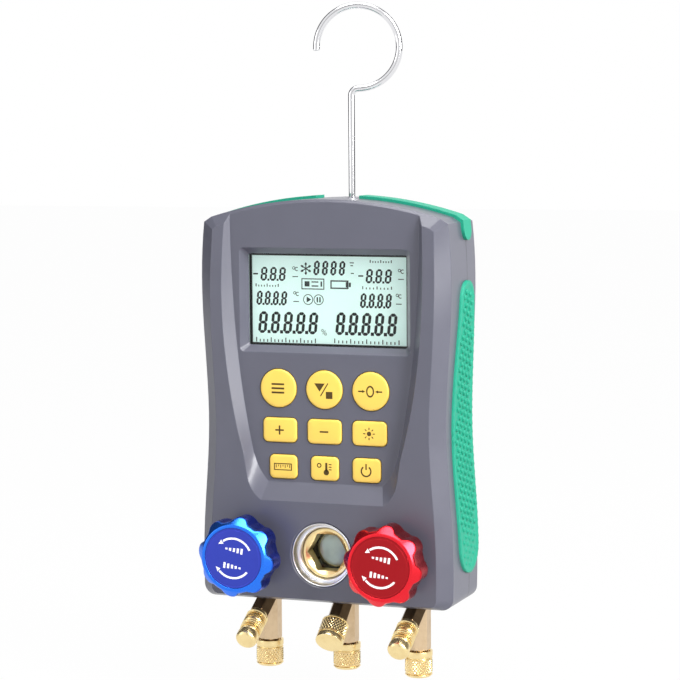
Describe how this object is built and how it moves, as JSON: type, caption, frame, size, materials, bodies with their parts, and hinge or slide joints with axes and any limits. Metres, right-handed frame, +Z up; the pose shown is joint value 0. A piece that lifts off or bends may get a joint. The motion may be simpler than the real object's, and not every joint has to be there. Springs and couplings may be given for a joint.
{
  "type": "refrigerant manifold gauge",
  "caption": "Digital refrigerant manifold gauge: grey case with display, keys and soft grips, two hand-wheel valves, a sight glass, capped flare fittings and a hanging hook.",
  "frame": {"origin": "centre of the case's flat back face, half way up the case", "axes": "+Z up the case towards the hook, -Y out of the front face, +X towards the high side (red) valve"},
  "size_m": [0.1362, 0.0781, 0.338],
  "materials": {
    "case_plastic": "fine satin texture",
    "grip_rubber": "matte, moulded over the case",
    "lens": "polished",
    "display": "satin",
    "white_plastic": "matte",
    "board": "satin lacquer",
    "mat_rubber": "matte",
    "black_plastic": "matte",
    "cell_jacket": "satin",
    "plated_steel": "bright plated",
    "steel": "satin",
    "brass": "machined",
    "brass_cap": "bright machined",
    "brass_dark": "toned",
    "sight_glass": "polished",
    "seal_rubber": "matte",
    "key_plastic": "satin",
    "blue_anodised": "anodised satin",
    "blue_disc": "satin",
    "red_anodised": "anodised satin",
    "red_disc": "satin"
  },
  "bodies": {
    "case": {"front_housing": "case_plastic", "rear_housing": "case_plastic", "left_grip": "grip_rubber", "right_grip": "grip_rubber", "left_top_strip": "grip_rubber", "right_top_strip": "grip_rubber", "case_screws": "steel", "display_lens": "lens", "display_cell": "display", "display_backlight": "white_plastic", "main_board": "board", "keypad_mat": "mat_rubber", "hook_guide": "black_plastic", "battery_cells": "cell_jacket", "battery_contact_foot": "plated_steel", "battery_contact_head": "plated_steel", "manifold_block": "brass", "sight_bezel": "plated_steel", "sight_nut": "brass", "sight_glass": "sight_glass", "sight_seal": "seal_rubber", "low_gland_nut": "brass", "high_gland_nut": "brass", "low_pressure_sensor": "steel", "high_pressure_sensor": "steel", "low_port": "brass_dark", "centre_port": "brass_dark", "high_port": "brass_dark"},
    "hook_collar": {"hook_collar": "steel"},
    "hook": {"hook": "plated_steel"},
    "battery_cover": {"battery_cover": "case_plastic", "battery_cover_screw": "steel"},
    "key_function": {"key_function": "key_plastic"},
    "key_run_stop": {"key_run_stop": "key_plastic"},
    "key_zero": {"key_zero": "key_plastic"},
    "key_up": {"key_up": "key_plastic"},
    "key_down": {"key_down": "key_plastic"},
    "key_light": {"key_light": "key_plastic"},
    "key_unit": {"key_unit": "key_plastic"},
    "key_temperature": {"key_temperature": "key_plastic"},
    "key_power": {"key_power": "key_plastic"},
    "low_valve": {"low_spindle": "steel", "low_wheel": "blue_anodised", "low_wheel_disc": "blue_disc"},
    "low_piston": {"low_piston": "brass"},
    "high_valve": {"high_spindle": "steel", "high_wheel": "red_anodised", "high_wheel_disc": "red_disc"},
    "high_piston": {"high_piston": "brass"},
    "low_cap_gasket": {"low_cap_gasket": "seal_rubber"},
    "low_cap": {"low_cap": "brass_cap"},
    "centre_cap_gasket": {"centre_cap_gasket": "seal_rubber"},
    "centre_cap": {"centre_cap": "brass_cap"},
    "high_cap_gasket": {"high_cap_gasket": "seal_rubber"},
    "high_cap": {"high_cap": "brass_cap"},
    "charge_cap_gasket": {"charge_cap_gasket": "seal_rubber"},
    "charge_cap": {"charge_cap": "brass_cap"}
  },
  "joints": [
    {"name": "hook_slide", "type": "slide", "parent": "case", "child": "hook_collar", "axis": [0, 0, 1], "range_m": [-0.046, 0]},
    {"name": "hook_swivel", "type": "hinge", "parent": "hook_collar", "child": "hook", "pos_m": [0, -0.007, 0.0855], "axis": [0, 0, 1], "continuous": true},
    {"name": "battery_cover_lift", "type": "slide", "parent": "case", "child": "battery_cover", "axis": [0, 1, 0], "range_m": [0, 0.03]},
    {"name": "key_function_press", "type": "slide", "parent": "case", "child": "key_function", "axis": [0, 1, 0], "range_m": [0, 0.0012], "stiffness_N_per_m": 800},
    {"name": "key_run_stop_press", "type": "slide", "parent": "case", "child": "key_run_stop", "axis": [0, 1, 0], "range_m": [0, 0.0012], "stiffness_N_per_m": 800},
    {"name": "key_zero_press", "type": "slide", "parent": "case", "child": "key_zero", "axis": [0, 1, 0], "range_m": [0, 0.0012], "stiffness_N_per_m": 800},
    {"name": "key_up_press", "type": "slide", "parent": "case", "child": "key_up", "axis": [0, 1, 0], "range_m": [0, 0.0012], "stiffness_N_per_m": 800},
    {"name": "key_down_press", "type": "slide", "parent": "case", "child": "key_down", "axis": [0, 1, 0], "range_m": [0, 0.0012], "stiffness_N_per_m": 800},
    {"name": "key_light_press", "type": "slide", "parent": "case", "child": "key_light", "axis": [0, 1, 0], "range_m": [0, 0.0012], "stiffness_N_per_m": 800},
    {"name": "key_unit_press", "type": "slide", "parent": "case", "child": "key_unit", "axis": [0, 1, 0], "range_m": [0, 0.0012], "stiffness_N_per_m": 800},
    {"name": "key_temperature_press", "type": "slide", "parent": "case", "child": "key_temperature", "axis": [0, 1, 0], "range_m": [0, 0.0012], "stiffness_N_per_m": 800},
    {"name": "key_power_press", "type": "slide", "parent": "case", "child": "key_power", "axis": [0, 1, 0], "range_m": [0, 0.0012], "stiffness_N_per_m": 800},
    {"name": "low_valve_turn", "type": "hinge", "parent": "case", "child": "low_valve", "pos_m": [-0.0385, -0.0675, -0.07555], "axis": [0, -1, 0], "range_deg": [0, 900]},
    {"name": "low_piston_lift", "type": "slide", "parent": "case", "child": "low_piston", "axis": [0, -1, 0], "range_m": [0, 0.00301]},
    {"name": "high_valve_turn", "type": "hinge", "parent": "case", "child": "high_valve", "pos_m": [0.0385, -0.0675, -0.07555], "axis": [0, -1, 0], "range_deg": [0, 900]},
    {"name": "high_piston_lift", "type": "slide", "parent": "case", "child": "high_piston", "axis": [0, -1, 0], "range_m": [0, 0.00301]},
    {"name": "low_cap_travel", "type": "slide", "parent": "case", "child": "low_cap_gasket", "axis": [0, 0, -1], "range_m": [0, 0.0127]},
    {"name": "low_cap_turn", "type": "hinge", "parent": "low_cap_gasket", "child": "low_cap", "pos_m": [-0.0405, -0.024, -0.1265], "axis": [0, 0, -1], "range_deg": [0, 3601]},
    {"name": "centre_cap_travel", "type": "slide", "parent": "case", "child": "centre_cap_gasket", "axis": [0, 0, -1], "range_m": [0, 0.0127]},
    {"name": "centre_cap_turn", "type": "hinge", "parent": "centre_cap_gasket", "child": "centre_cap", "pos_m": [0, -0.019, -0.1265], "axis": [0, 0, -1], "range_deg": [0, 3601]},
    {"name": "high_cap_travel", "type": "slide", "parent": "case", "child": "high_cap_gasket", "axis": [0, 0, -1], "range_m": [0, 0.0127]},
    {"name": "high_cap_turn", "type": "hinge", "parent": "high_cap_gasket", "child": "high_cap", "pos_m": [0.0405, -0.024, -0.1265], "axis": [0, 0, -1], "range_deg": [0, 3601]},
    {"name": "charge_cap_travel", "type": "slide", "parent": "case", "child": "charge_cap_gasket", "axis": [0, -0.766, -0.6428], "range_m": [0, 0.0127]},
    {"name": "charge_cap_turn", "type": "hinge", "parent": "charge_cap_gasket", "child": "charge_cap", "pos_m": [0, -0.03463, -0.11351], "axis": [0, -0.766, -0.6428], "range_deg": [0, 3601]}
  ],
  "couplings": [
    {"joint": "low_piston_lift", "follows": "low_valve_turn", "m_per_rad": 0.00019099},
    {"joint": "high_piston_lift", "follows": "high_valve_turn", "m_per_rad": 0.00019099},
    {"joint": "low_cap_turn", "follows": "low_cap_travel", "rad_per_m": 4947.4},
    {"joint": "centre_cap_turn", "follows": "centre_cap_travel", "rad_per_m": 4947.4},
    {"joint": "high_cap_turn", "follows": "high_cap_travel", "rad_per_m": 4947.4},
    {"joint": "charge_cap_turn", "follows": "charge_cap_travel", "rad_per_m": 4947.4}
  ]
}
